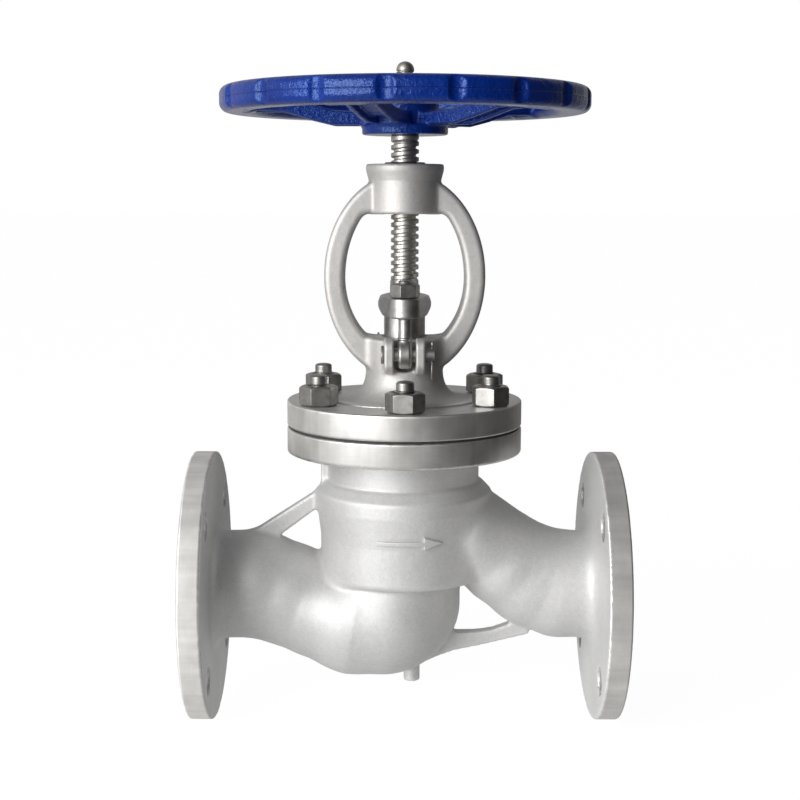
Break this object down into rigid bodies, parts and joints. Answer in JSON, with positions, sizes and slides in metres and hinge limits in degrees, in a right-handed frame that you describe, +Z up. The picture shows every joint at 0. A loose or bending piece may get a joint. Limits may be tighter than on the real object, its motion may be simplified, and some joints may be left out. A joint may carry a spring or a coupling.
{
  "type": "globe valve",
  "caption": "Straight flanged globe valve with a bolted bonnet, outside yoke, rising stem and scalloped handwheel.",
  "frame": {"origin": "centre of the inlet flange's raised face", "axes": "+X along the flow from inlet to outlet, +Z up along the stem towards the handwheel, +Y to the back"},
  "size_m": [0.29, 0.24, 0.4376],
  "materials": {
    "cast_body": "bead-blasted cast stainless steel, machined bright on the flange rims and faces",
    "cast_bonnet": "bead-blasted cast stainless steel, machined bright on the flange rim",
    "machined_steel": "turned stainless steel",
    "fastener_steel": "plain stainless fasteners, slightly darker than the castings",
    "bronze": "machined bronze",
    "graphite": "black graphite sheet and braid",
    "blue_paint": "thick glossy deep-blue enamel with an orange-peel texture"
  },
  "bodies": {
    "valve_body": {"body": "cast_body", "bonnet": "cast_bonnet", "bonnet_gasket": "graphite", "bonnet_studs": "fastener_steel", "bonnet_nuts": "fastener_steel", "stem_nut": "bronze", "stem_nut_screw": "fastener_steel", "packing_base_ring": "machined_steel", "packing_rings": "graphite", "hinge_pin_front": "fastener_steel", "hinge_pin_back": "fastener_steel", "cotter_pin_front": "fastener_steel", "cotter_pin_back": "fastener_steel", "eye_bolt_front": "fastener_steel", "eye_bolt_back": "fastener_steel"},
    "disc_assembly": {"disc": "machined_steel", "disc_nut": "machined_steel"},
    "stem_assembly": {"stem": "machined_steel", "handwheel": "blue_paint", "handwheel_washer": "fastener_steel", "handwheel_nut": "fastener_steel"},
    "gland_follower": {"gland": "machined_steel"},
    "front_gland_nut": {"gland_nut_front": "fastener_steel"},
    "back_gland_nut": {"gland_nut_back": "fastener_steel"}
  },
  "joints": [
    {"name": "disc_lift", "type": "slide", "parent": "valve_body", "child": "disc_assembly", "axis": [0, 0, 1], "range_m": [0, 0.0201]},
    {"name": "stem_turn", "type": "hinge", "parent": "disc_assembly", "child": "stem_assembly", "pos_m": [0.145, 0, 0], "axis": [0, 0, 1], "range_deg": [0, 1440]},
    {"name": "gland_adjust", "type": "slide", "parent": "valve_body", "child": "gland_follower", "axis": [0, 0, 1], "range_m": [-0.004, 0], "deforming": ["packing_rings"]},
    {"name": "front_nut_turn", "type": "hinge", "parent": "gland_follower", "child": "front_gland_nut", "pos_m": [0.145, -0.028, 0], "axis": [0, 0, 1], "range_deg": [-960, 0]},
    {"name": "back_nut_turn", "type": "hinge", "parent": "gland_follower", "child": "back_gland_nut", "pos_m": [0.145, 0.028, 0], "axis": [0, 0, 1], "range_deg": [-960, 0]}
  ],
  "couplings": [
    {"joint": "disc_lift", "follows": "stem_turn", "m_per_rad": 0.00079577},
    {"joint": "front_nut_turn", "follows": "gland_adjust", "rad_per_m": 4188.8},
    {"joint": "back_nut_turn", "follows": "gland_adjust", "rad_per_m": 4188.8}
  ]
}
